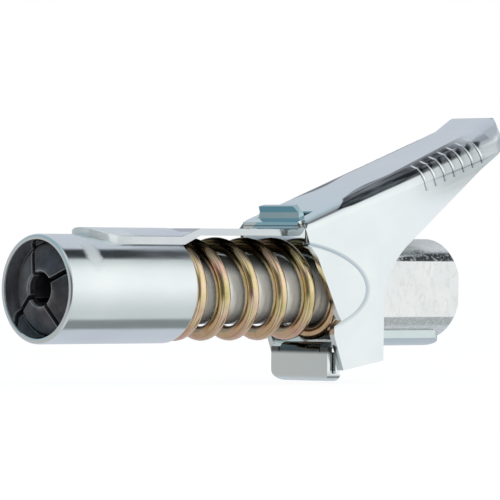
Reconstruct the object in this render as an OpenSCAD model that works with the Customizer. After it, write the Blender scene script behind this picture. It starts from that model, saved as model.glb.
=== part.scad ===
// Lever-locked grease coupler: four gripping jaws inside a sliding sleeve.
// A squeezed lever draws the sleeve back by a welded strap and the jaws open.
// Axis along X, inlet at the origin and facing +X, lever on top (+Z).
// All sizes in millimetres; x stations are counted back from the sleeve's mouth.

/* [Whole coupler] */
// length from the sleeve's mouth to the inlet face
body_length = 79.2; // [76:0.2:90]
// thickness of the lever's sheet
lever_sheet = 1; // [0.8:0.05:1.3]
// thickness of the strap and bracket sheet
strap_sheet = 1; // [0.8:0.05:1.2]

/* [Sleeve] */
// outer diameter of the sliding sleeve
sleeve_d = 16; // [15.6:0.1:18]
// length of the sleeve
sleeve_length = 24.4; // [23:0.2:26]
// wall of the sleeve behind its cone
sleeve_wall = 1.1; // [0.8:0.05:1.2]
// wall left at the sleeve's mouth
mouth_wall = 0.85; // [0.6:0.05:1]
// half angle of the closing cone
cone_angle = 12; // [10:0.5:14]
// length of the closing cone
cone_length = 5; // [4:0.1:6]
// length of the narrow throat behind the cone
throat_length = 2; // [1:0.1:3]
// thickness of the guide wall at the sleeve's rear end
guide_wall = 2.4; // [1.5:0.1:3]
// rounding of the mouth's outer edge
mouth_round = 0.45; // [0.2:0.05:0.6]

/* [Strap] */
// width of the strap
strap_width = 9.2; // [8:0.1:10]
// station of the strap's rounded nose
strap_nose_x = 8.2; // [6:0.1:10]
// width of the hook tab
tab_width = 8.8; // [7:0.1:9]
// height of the hook tab above the axis
tab_top = 12.65; // [12:0.05:13.5]
// forward lean of the tab's lip
tab_lean = 30; // [15:1:40]
// length over which the strap's edges rise from the sleeve to the flat bridge
lift_run = 3.2; // [2:0.1:4.5]
// inner bend radius of strap and bracket
bend_r = 0.5; // [0.3:0.05:0.8]

/* [Lever] */
// station of the lever's front edge
lever_front_x = 45.8; // [45:0.1:46.5]
// height of the plate's upper face at its front edge
lever_front_z = 10; // [9.9:0.05:11]
// slope of the lever's plate
lever_slope = 20.4; // [19:0.2:22]
// length of the plate along its slope
lever_length = 46.7; // [44:0.1:52]
// outside width over the two cheeks
lever_width = 15; // [14.8:0.1:16]
// fold radius at the front edge
fold_r_front = 1.5; // [1.3:0.1:2]
// fold radius at the tail
fold_r_tail = 4.3; // [3:0.1:5]
// corner radius of the tail's plan
tail_corner_r = 6.6; // [5:0.1:7]
// length of the tail's turned-up tip
tip_length = 5; // [4:0.1:7]
// angle of the turned-up tip
tip_curl = 10; // [2:0.5:12]
// height of the cheeks' round bulge
bulge_height = 1.5; // [1.4:0.05:1.8]
// half height of the bulge at its foot
bulge_r = 7.5; // [7:0.1:7.8]
// number of thumb ribs on each fold of the tail
rib_count = 7; // [4:1:8]
// pitch of the thumb ribs
rib_pitch = 2.1; // [1.6:0.1:2.4]
// width of the thumb ribs
rib_width = 0.4; // [0.3:0.05:0.8]
// height of the thumb ribs
rib_height = 0.16; // [0.1:0.02:0.4]

/* [Heel bracket] */
// width of the bracket's wall
heel_width = 12.4; // [11:0.1:12.6]
// width of the bracket's saddle
saddle_width = 8.8; // [7:0.1:10]
// corner radius at the rear end of the saddle
saddle_corner = 2; // [1:0.1:3.5]
// lowest point of the bracket below the axis
heel_depth = 13.8; // [13.4:0.1:15]
// length of the foot behind the wall
foot_length = 1.9; // [1.6:0.1:2.4]

/* [Body] */
// diameter of the ground shank
shank_d = 10.5; // [10:0.1:10.8]
// diameter of the rear barrel
barrel_d = 15.3; // [15:0.1:15.6]
// distance over the two wrench flats
flats = 12.8; // [12.4:0.1:12.8]
// station of the barrel's front shoulder
shoulder_x = 56.1; // [55.6:0.1:56.4]
// edge chamfer at the inlet end
rear_chamfer = 0.9; // [0.4:0.1:1.4]
// bore of the inlet before threading
inlet_d = 8.74; // [8.4:0.02:9]
// depth of the inlet bore
inlet_depth = 10.5; // [9:0.1:12]
// bore of the valve chamber
chamber_d = 6; // [5.6:0.1:6.2]

/* [Jaws] */
// station of the jaws' front lips
jaw_front_x = 0.6; // [0.4:0.1:1]
// depth of the jaws' coned front face
jaw_face = 1.25; // [0.8:0.05:1.5]
// radius of the jaws' front face
jaw_face_r = 6; // [5.6:0.05:6.2]
// bore between the closed lips
lip_d = 4.9; // [4.8:0.05:5.4]
// bore of the pocket behind the lips
pocket_d = 6.7; // [6.4:0.05:7]
// gap between neighbouring jaws
jaw_gap = 0.75; // [0.5:0.05:1]
// turn of the jaws about the axis
jaw_turn = 16; // [0:1:45]
// running gap between the jaws and the sleeve's cone
cone_gap = 0.09; // [0.06:0.01:0.1]

/* [Main spring] */
// outer diameter of the main spring
spring_d = 15.4; // [14.8:0.1:15.4]
// wire of the main spring
spring_wire = 2.2; // [1.8:0.1:2.4]
// pitch of the active coils
spring_pitch = 5.7; // [5:0.05:6.2]

/* [Clearances] */
// gap between sliding flat faces
slide_gap = 0.1; // [0.06:0.01:0.15]
// running gap on the guide bores
run_gap = 0.05; // [0.03:0.01:0.08]
// gap between the spring and what lies round it
spring_gap = 0.25; // [0.2:0.05:0.3]

/* [Hidden] */
$fn = 64;
eps = 0.02;
big = 200;
sleeve_r = sleeve_d / 2;
barrel_r = barrel_d / 2;
shank_r = shank_d / 2;
chamber_r = chamber_d / 2;

// sleeve stations and radii
mouth_r = sleeve_r - mouth_wall;
cone_start = 0.5;
cone_end = cone_start + cone_length;
throat_r = mouth_r - cone_length * tan(cone_angle);
throat_end = cone_end + throat_length;
cavity_r = sleeve_r - sleeve_wall;
cavity_end = sleeve_length - guide_wall;

// strap: it lies just over the spring, and the lever's edge just over it
strap_low = spring_d / 2 + spring_gap;
strap_high = strap_low + strap_sheet;
lift_x = sleeve_length + 0.3;
lift_end = lift_x + lift_run;
tab_x = lever_front_x + 1.8;
slot_front = tab_x - 0.15;
slot_back = tab_x + strap_sheet + 1.7;
lip_z = tab_top - 1.15;

// lever
lever_half = lever_width / 2;
cheek_in = lever_half - lever_sheet;
fold_grow = (fold_r_tail - fold_r_front) / lever_length;
tip_root = lever_length - tip_length;
tip_step = 0.03;
bulge_x = 40.6;
bulge_z = 0;
bulge_flank = 0.9;
bulge_stretch = 2.5;
cheek_rear_x = 62.4;
cheek_fillet_r = 12;
cheek_fillet_z = -3;
tail_slope = 37;

// heel bracket and the lever's pivot in its hook
strip_high = -strap_low;
strip_low = strip_high - strap_sheet;
wall_x = 51.9;
hook_x = wall_x + strap_sheet;
ear_rise = 0.75;
foot_high = -heel_depth + strap_sheet;
pivot_r = lever_sheet / 2;
pivot_x = hook_x + slide_gap + pivot_r + 0.05;
pivot_z = foot_high + slide_gap + pivot_r;
lug_top = strip_low - 0.5;
lug_reach = 3.3;
saddle_end = body_length - 1.4;

// jaw seat on the body's nose, and the jaws round it
nose_x = 12.8;
nose_r = 4.75;
groove_x = 14.2;
groove_end = 16.4;
groove_r = 3.4;
seat_gap = 0.15;
arm_r = 5.5;
heel_r = cavity_r - 0.35;
lip_end = jaw_front_x + 1.3;
seal_r = 3.7;
seal_room_r = seal_r + 0.25;
seal_x = 7.6;

// valve train along the bore
seal_length = 2.4;
washer_t = 0.6;
head_x = seal_x + seal_length + washer_t;
head_t = 0.7;
stem_bore_r = 2.2;
stem_r = stem_bore_r - run_gap;
stem_end = 20.5;
stem_hole_r = 0.9;
ring_x = 18;
ring_r = 0.4;
chamber_x = 20;
stop_x = 30;
stop_t = 2;
ball_r = 2.2;
seat_x = 41.7;
ball_x = seat_x - 1.2;
seat_t = 4.3;
seat_hole_r = 1.5;
wire_small = 0.5;

// points of an arc in a profile
function arc(cx, cy, r, a0, a1, n = 5) =
  [for (i = [0:n]) [cx + r * cos(a0 + (a1 - a0) * i / n), cy + r * sin(a0 + (a1 - a0) * i / n)]];

// stations counted from the mouth are moved so that the inlet face is at the origin
module placed() {
  translate([-body_length, 0, 0])
    children();
}

// turns a profile of [radius, station] points about the axis
module turned(points) {
  rotate([0, 90, 0])
    rotate_extrude()
      polygon(points);
}

// round bar or bore along the axis
module bar(x0, x1, r) {
  translate([x0, 0, 0])
    rotate([0, 90, 0])
      cylinder(h = x1 - x0, r = r);
}

// conical bar along the axis
module taper(x0, x1, r0, r1) {
  translate([x0, 0, 0])
    rotate([0, 90, 0])
      cylinder(h = x1 - x0, r1 = r0, r2 = r1);
}

// side-view outline of [x, z] points, spread over a width across Y
module across(points, width) {
  translate([0, width / 2, 0])
    rotate([90, 0, 0])
      linear_extrude(height = width)
        polygon(points);
}

// block from one corner to the opposite one
module block(low, high) {
  translate(low)
    cube(high - low);
}

// quarter of a sheet bend about Y; sx and sz choose the quarter
module bend(cx, cz, r, sheet, width, sx, sz) {
  intersection() {
    translate([cx, width / 2, cz])
      rotate([90, 0, 0])
        difference() {
          cylinder(h = width, r = r + sheet);
          translate([0, 0, -1])
            cylinder(h = width + 2, r = r);
        }
    translate([sx > 0 ? cx : cx - 10, -width, sz > 0 ? cz : cz - 10])
      cube([10, 2 * width, 10]);
  }
}

// coil spring: axial place of the wire after s turns, with closed ends
function coil_rise(s, turns, pitch, ease) =
  s < ease ? pitch * s * s / (2 * ease)
  : s > turns - ease ? pitch * (turns - ease) - pitch * (turns - s) * (turns - s) / (2 * ease)
  : pitch * (s - ease / 2);

// one ring of the wire's section, square to the coil at angle a round the axis
function coil_ring(x, r, wire_r, a, lean, sides) =
  [for (k = [0:sides - 1])
    let (q = 360 * k / sides, u = wire_r * cos(q), v = wire_r * sin(q))
      [x + v * cos(lean),
        (r + u) * cos(a) + v * sin(lean) * sin(a),
        (r + u) * sin(a) - v * sin(lean) * cos(a)]];

module coil(x0, turns, pitch, ease, r, wire_r, a0, steps, sides) {
  count = ceil(turns * steps);
  rings = [for (i = [0:count])
    let (s = turns * i / count,
      slope = s < ease ? s / ease : s > turns - ease ? (turns - s) / ease : 1,
      lean = atan(pitch * slope / (2 * PI * r)))
      each coil_ring(x0 + coil_rise(s, turns, pitch, ease), r, wire_r, a0 + 360 * s, lean, sides)];
  sides_faces = [for (i = [0:count - 1]) for (k = [0:sides - 1])
    let (a = i * sides + k, b = i * sides + (k + 1) % sides)
      each [[a, b, b + sides], [a, b + sides, a + sides]]];
  ends = [[for (k = [0:sides - 1]) sides - 1 - k], [for (k = [0:sides - 1]) count * sides + k]];
  polyhedron(points = rings, faces = concat(sides_faces, ends), convexity = 10);
}

// turned body: nose with the jaw seat, shank, and barrel with two wrench flats
module coupler_body() {
  color([0.78, 0.79, 0.8])
    placed() {
      difference() {
        union() {
          bar(nose_x, groove_x, nose_r);
          bar(groove_x - 1, groove_end + 1, groove_r);
          bar(groove_end, shoulder_x + 1, shank_r);
          intersection() {
            turned([[0, shoulder_x], [barrel_r - 0.3, shoulder_x], [barrel_r, shoulder_x + 0.3],
              [barrel_r, body_length - rear_chamfer], [barrel_r - rear_chamfer, body_length],
              [0, body_length]]);
            block([shoulder_x - 1, -flats / 2, -big / 2], [body_length + 1, flats / 2, big / 2]);
          }
        }
        bar(nose_x - 1, chamber_x + 1, stem_bore_r);
        bar(chamber_x, body_length - inlet_depth + 1, chamber_r);
        bar(body_length - inlet_depth, body_length + 1, inlet_d / 2);
      }
    }
}

// pressed bracket welded under the barrel: saddle, wall and the foot that hooks the lever
module heel_bracket() {
  color([0.72, 0.73, 0.75])
    placed() {
      intersection() {
        difference() {
          bar(shoulder_x, saddle_end, barrel_r + strap_sheet);
          bar(shoulder_x - 1, saddle_end + 1, barrel_r);
        }
        translate([0, 0, -barrel_r - strap_sheet - 1])
          linear_extrude(height = barrel_r)
            polygon(concat([[shoulder_x - 1, saddle_width / 2], [shoulder_x - 1, -saddle_width / 2]],
              arc(saddle_end - saddle_corner, saddle_corner - saddle_width / 2, saddle_corner, 270, 360, 6),
              arc(saddle_end - saddle_corner, saddle_width / 2 - saddle_corner, saddle_corner, 0, 90, 6)));
      }
      block([hook_x + bend_r, -saddle_width / 2, strip_low],
        [shoulder_x + eps, saddle_width / 2, strip_high]);
      difference() {
        block([shoulder_x, -saddle_width / 2, strip_low], [shoulder_x + 1.6, saddle_width / 2, strip_high]);
        bar(shoulder_x - 1, shoulder_x + 3, barrel_r);
      }
      bend(hook_x + bend_r, strip_low - bend_r, bend_r, strap_sheet, saddle_width, -1, 1);
      intersection() {
        union() {
          block([wall_x, -heel_width / 2, foot_high + bend_r], [hook_x, heel_width / 2, strip_low - bend_r]);
          for (side = [0, 1])
            mirror([0, side, 0])
              block([wall_x, saddle_width / 2 + 0.2, foot_high + bend_r],
                [hook_x, heel_width / 2, strip_low - bend_r + ear_rise]);
          bend(hook_x + bend_r, foot_high + bend_r, bend_r, strap_sheet, heel_width, -1, -1);
          block([hook_x + bend_r, -heel_width / 2, -heel_depth],
            [hook_x + foot_length, heel_width / 2, foot_high]);
        }
        heel_front();
      }
    }
}

// front outline of the bracket's wall, with its lower corners rounded
module heel_front() {
  corner_r = 1.6;
  rotate([0, 90, 0])
    linear_extrude(height = big)
      polygon(concat([[heel_depth - 9, -heel_width / 2]],
        arc(heel_depth - corner_r, corner_r - heel_width / 2, corner_r, 270, 360, 6),
        arc(heel_depth - corner_r, heel_width / 2 - corner_r, corner_r, 0, 90, 6),
        [[heel_depth - 9, heel_width / 2]]));
}

// valve seat pressed into the chamber, with a cone for the ball
module valve_seat() {
  color([0.75, 0.6, 0.32])
    placed()
      difference() {
        bar(seat_x, seat_x + seat_t, chamber_r);
        bar(seat_x - 1, seat_x + seat_t + 1, seat_hole_r);
        taper(seat_x - eps, seat_x + 0.8, 2.35, seat_hole_r);
      }
}

// ring that both inner springs stand on
module spring_stop() {
  color([0.75, 0.6, 0.32])
    placed()
      difference() {
        bar(stop_x, stop_x + stop_t, chamber_r);
        bar(stop_x - 1, stop_x + stop_t + 1, 1.1);
      }
}

// sliding sleeve: closing cone behind the mouth, throat, cavity and rear guide wall
module front_sleeve() {
  color([0.8, 0.82, 0.84])
    placed()
      turned(concat(
        [[mouth_r, 0.15], [mouth_r + 0.15, 0]],
        arc(sleeve_r - mouth_round, mouth_round, mouth_round, -90, 0),
        [[sleeve_r, sleeve_length - 0.25], [sleeve_r - 0.25, sleeve_length],
          [shank_r + run_gap, sleeve_length], [shank_r + run_gap, cavity_end],
          [cavity_r, cavity_end], [cavity_r, throat_end + 0.8], [throat_r, throat_end],
          [throat_r, cone_end], [mouth_r, cone_start]]));
}

// strap welded on the sleeve: saddle, bridge over the spring, and hook tab for the lever
module sleeve_strap() {
  nose_r0 = strap_width / 2;
  edge_low = sqrt(sleeve_r * sleeve_r - nose_r0 * nose_r0);
  edge_high = sqrt(pow(sleeve_r + strap_sheet, 2) - nose_r0 * nose_r0);
  color([0.76, 0.79, 0.82])
    placed() {
      intersection() {
        difference() {
          bar(strap_nose_x - 1, lift_x, sleeve_r + strap_sheet);
          bar(strap_nose_x - 2, lift_x + 1, sleeve_r);
        }
        union() {
          translate([strap_nose_x + nose_r0, 0, 0])
            cylinder(h = 2 * sleeve_r, r = nose_r0);
          block([strap_nose_x + nose_r0, -nose_r0, 0], [lift_x, nose_r0, 2 * sleeve_r]);
        }
      }
      difference() {
        across([[lift_x - 0.6, edge_low + eps], [lift_x, edge_low + eps], [lift_end, strap_low],
          [lift_end + 1, strap_low], [lift_end + 1, strap_high], [lift_end - 0.4, strap_high],
          [lift_x - 0.6, edge_high - eps]], strap_width);
        bar(lift_x - 2, lift_end + 2, sleeve_r);
      }
      intersection() {
        union() {
          block([lift_end - 0.3, -nose_r0, strap_low], [tab_x - bend_r, nose_r0, strap_high]);
          bend(tab_x - bend_r, strap_high + bend_r, bend_r, strap_sheet, strap_width, 1, -1);
          block([tab_x, -nose_r0, strap_high + bend_r], [tab_x + strap_sheet, nose_r0, lip_z]);
          across([[tab_x, lip_z - eps], [tab_x + strap_sheet, lip_z - eps],
            [tab_x + strap_sheet, lip_z], [tab_x + strap_sheet - (tab_top - lip_z) * tan(tab_lean), tab_top],
            [tab_x - (tab_top - lip_z) * tan(tab_lean), tab_top - strap_sheet * sin(tab_lean) / 2],
            [tab_x, lip_z]], strap_width);
        }
        tab_front();
      }
    }
}

// front outline of the hook tab: narrower than the strap, its upper corners tapered
module tab_front() {
  rotate([90, 0, 90])
    linear_extrude(height = big)
      polygon([[-strap_width / 2, 0], [strap_width / 2, 0], [strap_width / 2, strap_high + bend_r / 2],
        [tab_width / 2, strap_high + bend_r], [tab_width / 2, lip_z - 0.3], [tab_width / 2 - 0.75, tab_top],
        [0.75 - tab_width / 2, tab_top], [-tab_width / 2, lip_z - 0.3],
        [-tab_width / 2, strap_high + bend_r], [-strap_width / 2, strap_high + bend_r / 2]]);
}

// main spring between the sleeve and the barrel's shoulder
module main_spring() {
  wire_r = spring_wire / 2;
  first = sleeve_length + slide_gap + wire_r;
  last = shoulder_x - slide_gap - wire_r;
  ease = 0.75;
  turns = (last - first) / spring_pitch + ease;
  color([0.78, 0.62, 0.3])
    placed()
      coil(first, turns, spring_pitch, ease, spring_d / 2 - wire_r, wire_r, 100, 30, 12);
}

// block of the folded lever in its own frame: u along the plate, w square to it.
// Both upper edges carry a conical fold that widens towards the tail.
module folded_block(half, top, r_front) {
  apex = -r_front / fold_grow;
  reach = lever_length - apex + 6;
  cone_h = reach * sqrt(1 + 2 * fold_grow * fold_grow);
  difference() {
    block([-3, -half, top - 70], [lever_length + 3, half, top]);
    for (side = [0, 1])
      mirror([0, side, 0])
        translate([apex, half, top])
          difference() {
            rotate([0, acos(1 / sqrt(2 + fold_grow * fold_grow)), atan2(1, fold_grow)])
              translate([-big / 2, -big / 2, 0])
                cube([big, big, 20]);
            rotate([0, 0, -atan(fold_grow)])
              rotate([0, atan(fold_grow / sqrt(1 + fold_grow * fold_grow)), 0])
                rotate([0, 90, 0])
                  cylinder(h = cone_h, r1 = 0, r2 = cone_h * fold_grow / sqrt(1 + fold_grow * fold_grow));
          }
  }
}

// places the lever's own frame on the coupler
module on_lever() {
  translate([lever_front_x, 0, lever_front_z])
    rotate([0, -lever_slope, 0])
      children();
}

// side view of the lever: leaning front edge, heel, filleted rear edge and the rising tail
module lever_side(width) {
  rise = tan(tail_slope);
  fillet_end = cheek_rear_x + cheek_fillet_r * (1 - sin(tail_slope));
  fillet_top = cheek_fillet_z + cheek_fillet_r * cos(tail_slope);
  tail_run = lever_length / 3;
  across(concat(
    [[lever_front_x - 2, 8.6], [lever_front_x - 0.25, 8.2], [lever_front_x, 6.4],
      [lever_front_x + 1.4, 4.9], [lever_front_x + 5.6, -3.6], [lever_front_x + 6.3, -4.6],
      [lever_front_x + 6.3, -6.8], [pivot_x - 0.45, pivot_z - 0.1], [cheek_rear_x - 0.1, pivot_z + 1.45]],
    arc(cheek_rear_x + cheek_fillet_r, cheek_fillet_z, cheek_fillet_r, 180, 90 + tail_slope, 8),
    [[fillet_end + tail_run, fillet_top + tail_run * rise],
      [fillet_end + 2 * tail_run, fillet_top + tail_run * rise + tail_run * tan(tail_slope - 4)],
      [fillet_end + 2 * tail_run, 4 * lever_length], [lever_front_x - 2, 4 * lever_length]]), width);
}

// plan of the lever in its own frame: square front, rounded tail
module lever_plan(half, end) {
  r = min(tail_corner_r, half - 1);
  linear_extrude(height = big, center = true)
    polygon(concat([[0, half], [0, -half]],
      arc(end - r, r - half, r, 270, 360, 8),
      arc(end - r, half - r, r, 0, 90, 8)));
}

// turns a shape up about the root line of the tail's tip
module tip_turn(angle) {
  translate([tip_root, 0, 0])
    rotate([0, -angle, 0])
      translate([-tip_root, 0, 0])
        children();
}

// full form of the folded lever: straight plate, then the turned-up tip with its rolled end;
// the tip's fold mirrors the plate's on the plane that halves the bend, and lies a hair inside it
module lever_form(half, top, r_front, front, end, r_end) {
  intersection() {
    folded_block(half, top, r_front);
    tip_turn(tip_curl / 2)
      block([front - 10, -big, -big], [tip_root, big, big]);
    block([front, -big, -big], [big, big, big]);
  }
  intersection() {
    translate([tip_root, 0, 0])
      mirror([cos(tip_curl / 2), 0, sin(tip_curl / 2)])
        translate([-tip_root, 0, 0])
          folded_block(half - tip_step, top - tip_step, r_front);
    tip_turn(tip_curl)
      intersection() {
        lever_plan(half, end);
        across(concat([[0, top - 70], [end, top - 70]], arc(end - r_end, top - r_end, r_end, 0, 90, 6),
          [[0, top + 1]]), big);
      }
    tip_turn(tip_curl / 2)
      block([tip_root - 0.5, -big, -big], [big, big, big]);
  }
}

// bulge of one cheek, standing out from a face at y: long oval that opens at the front edge
module bulge(y, height, r) {
  translate([bulge_x, -y, bulge_z])
    rotate([90, 0, 0])
      scale([bulge_stretch, 1, 1])
        cylinder(h = height, r1 = r, r2 = r - bulge_flank);
}

// pressed lever: plate, cheeks, tail with ribs, bulges round the spring, and pivot lugs
module lever() {
  rib_start = lever_length - 8.6 - (rib_count - 1) * rib_pitch;
  color([0.8, 0.82, 0.85])
    placed()
      difference() {
        union() {
          intersection() {
            union() {
              difference() {
                intersection() {
                  on_lever()
                    lever_form(lever_half, 0, fold_r_front, 0, lever_length, 1.6);
                  lever_side(2 * lever_width);
                }
                on_lever()
                  lever_form(cheek_in, -lever_sheet, fold_r_front - lever_sheet, -2,
                    lever_length - lever_sheet, 0.6);
              }
              for (side = [0, 1])
                mirror([0, side, 0])
                  bulge(cheek_in + 0.3, bulge_height + lever_sheet - 0.3, bulge_r);
            }
            lever_side(2 * lever_width);
          }
          on_lever()
            intersection() {
              difference() {
                folded_block(lever_half + rib_height, rib_height, fold_r_front + rib_height);
                folded_block(lever_half - 0.2, -0.2, fold_r_front - 0.2);
              }
              for (side = [0, 1])
                mirror([0, side, 0])
                  for (i = [0:rib_count - 1])
                    block([rib_start + i * rib_pitch, lever_half - 2.6, -4.2],
                      [rib_start + i * rib_pitch + rib_width, lever_half + 1, -0.6]);
            }
          for (side = [0, 1])
            mirror([0, side, 0])
              lug();
        }
        for (side = [0, 1])
          mirror([0, side, 0])
            bulge(cheek_in - 0.3, bulge_height + 0.3, bulge_r - 0.2);
        block([slot_front, -tab_width / 2 - 0.35, 0], [slot_back, tab_width / 2 + 0.35, 30]);
        for (side = [-1, 1])
          translate([lever_front_x + 0.4, side * (lever_half - 0.8), 0])
            cylinder(h = 30, r = 0.75);
      }
}

// inward lug at the foot of one cheek: its round edge turns in the bracket's hook
module lug() {
  block([pivot_x - pivot_r, -cheek_in - 0.3, pivot_z], [pivot_x + pivot_r, -lug_reach, lug_top]);
  translate([pivot_x, -lug_reach, pivot_z])
    rotate([90, 0, 0])
      cylinder(h = cheek_in + 0.3 - lug_reach, r = pivot_r);
}

// one gripping jaw: lip and pocket for the fitting's head, cone outside, hook at the heel
module jaw(i) {
  front_x = jaw_front_x + jaw_face + 0.6;
  front_r = mouth_r - (front_x - cone_start) * tan(cone_angle) - cone_gap;
  back_x = cone_end - 0.2;
  back_r = mouth_r - (back_x - cone_start) * tan(cone_angle) - cone_gap;
  pocket_r = pocket_d / 2;
  color([0.16, 0.16, 0.17])
    placed()
      intersection() {
        turned([[lip_d / 2 + 0.25, jaw_front_x], [jaw_face_r, jaw_front_x + jaw_face],
          [front_r, front_x], [back_r, back_x], [arm_r, back_x + 0.9], [arm_r, groove_x - 1],
          [heel_r, groove_x + seat_gap], [heel_r, groove_end - seat_gap],
          [groove_r + seat_gap, groove_end - seat_gap], [groove_r + seat_gap, groove_x + seat_gap],
          [nose_r + seat_gap, groove_x + seat_gap], [nose_r + seat_gap, nose_x - 0.3],
          [seal_room_r, nose_x - 0.3], [seal_room_r, seal_x - 0.3], [pocket_r, seal_x - 0.3],
          [pocket_r, lip_end + 0.5], [lip_d / 2, lip_end], [lip_d / 2, jaw_front_x + 0.25]]);
        rotate([jaw_turn + 90 * i - 45, 0, 0])
          translate([0, jaw_gap / 2, jaw_gap / 2])
            cube([30, 12, 12]);
      }
}

module jaw_1() {
  jaw(0);
}

module jaw_2() {
  jaw(1);
}

module jaw_3() {
  jaw(2);
}

module jaw_4() {
  jaw(3);
}

// rubber seal that meets the fitting's head
module nose_seal() {
  color([0.1, 0.1, 0.11])
    placed()
      turned([[1.1, seal_x + 0.6], [1.9, seal_x], [seal_r - 0.4, seal_x], [seal_r, seal_x + 0.4],
        [seal_r, seal_x + seal_length], [1.1, seal_x + seal_length]]);
}

// backing washer behind the seal
module seal_washer() {
  color([0.75, 0.6, 0.32])
    placed()
      difference() {
        bar(head_x - washer_t, head_x, seal_r - 0.15);
        bar(head_x - washer_t - 1, head_x + 1, 1.1);
      }
}

// hollow piston that carries the seal in the body's bore
module seal_piston() {
  color([0.7, 0.71, 0.73])
    placed()
      difference() {
        union() {
          bar(head_x, head_x + head_t, seal_r - 0.2);
          bar(head_x, stem_end, stem_r);
        }
        bar(head_x - 1, stem_end + 1, stem_hole_r);
        difference() {
          bar(ring_x - ring_r, ring_x + ring_r, stem_r + 1);
          bar(ring_x - 1, ring_x + 1, stem_r - 2 * ring_r);
        }
      }
}

// sealing ring in the piston's groove
module piston_ring() {
  color([0.08, 0.08, 0.09])
    placed()
      translate([ring_x, 0, 0])
        rotate([0, 90, 0])
          rotate_extrude()
            translate([stem_r - ring_r, 0])
              circle(r = ring_r - 0.01);
}

// spring that presses the seal forward
module seal_spring() {
  wire_r = wire_small / 2;
  first = stem_end + slide_gap + wire_r;
  last = stop_x - slide_gap - wire_r;
  color([0.7, 0.71, 0.73])
    placed()
      coil(first, 6, (last - first) / 5, 1, 2 - wire_r, wire_r, 0, 16, 8);
}

// check ball
module check_ball() {
  color([0.8, 0.8, 0.82])
    placed()
      translate([ball_x, 0, 0])
        sphere(r = ball_r);
}

// spring that presses the ball on its seat
module check_spring() {
  wire_r = wire_small / 2;
  first = stop_x + stop_t + slide_gap + wire_r;
  last = ball_x - 1.75 - wire_r;
  color([0.7, 0.71, 0.73])
    placed()
      coil(first, 5, (last - first) / 4, 1, 1.75 - wire_r, wire_r, 0, 16, 8);
}

coupler_body();
heel_bracket();
valve_seat();
spring_stop();
front_sleeve();
sleeve_strap();
main_spring();
lever();
jaw_1();
jaw_2();
jaw_3();
jaw_4();
nose_seal();
seal_washer();
seal_piston();
piston_ring();
seal_spring();
check_ball();
check_spring();
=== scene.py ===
"""Dressed model of a lever-locked grease coupler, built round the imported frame."""

import logging
import math
from dataclasses import dataclass
from enum import Enum
from typing import Any, Callable, Dict, List, Optional, Sequence, Tuple, Union

import bmesh
import bpy
from mathutils import Matrix, Vector


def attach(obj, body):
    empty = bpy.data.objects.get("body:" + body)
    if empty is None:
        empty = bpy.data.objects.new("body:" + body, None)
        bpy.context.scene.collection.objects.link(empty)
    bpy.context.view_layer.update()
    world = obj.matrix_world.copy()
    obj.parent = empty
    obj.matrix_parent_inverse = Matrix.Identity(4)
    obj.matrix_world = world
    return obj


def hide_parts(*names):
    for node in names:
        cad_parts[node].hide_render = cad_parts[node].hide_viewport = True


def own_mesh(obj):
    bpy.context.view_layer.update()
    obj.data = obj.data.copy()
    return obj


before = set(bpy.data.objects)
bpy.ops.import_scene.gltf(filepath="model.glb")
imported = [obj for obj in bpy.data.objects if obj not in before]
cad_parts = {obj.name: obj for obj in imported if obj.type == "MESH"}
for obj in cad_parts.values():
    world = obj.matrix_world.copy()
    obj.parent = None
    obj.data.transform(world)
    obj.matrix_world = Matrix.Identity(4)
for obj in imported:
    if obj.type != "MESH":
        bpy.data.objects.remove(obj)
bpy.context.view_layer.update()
LOG = logging.getLogger("coupler")
MM = 0.001
TAU = 2 * math.pi
WHITE = (1.0, 1.0, 1.0)

Number = Union[int, float]
Colour = Tuple[float, float, float]
Triple = Tuple[float, float, float]
Span = Tuple[float, float]
Sockets = Dict[str, Any]


class Grain(Enum):
    """Run of the fine marks on a bright surface, in marks per metre along each axis."""

    ALONG = (70.0, 900.0, 900.0)
    PRESSED = (330.0, 420.0, 360.0)


class Body(Enum):
    """Moving bodies that carry whole sub-assemblies."""

    FRAME = "frame"
    SLEEVE = "sleeve"
    LEVER = "lever"


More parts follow.
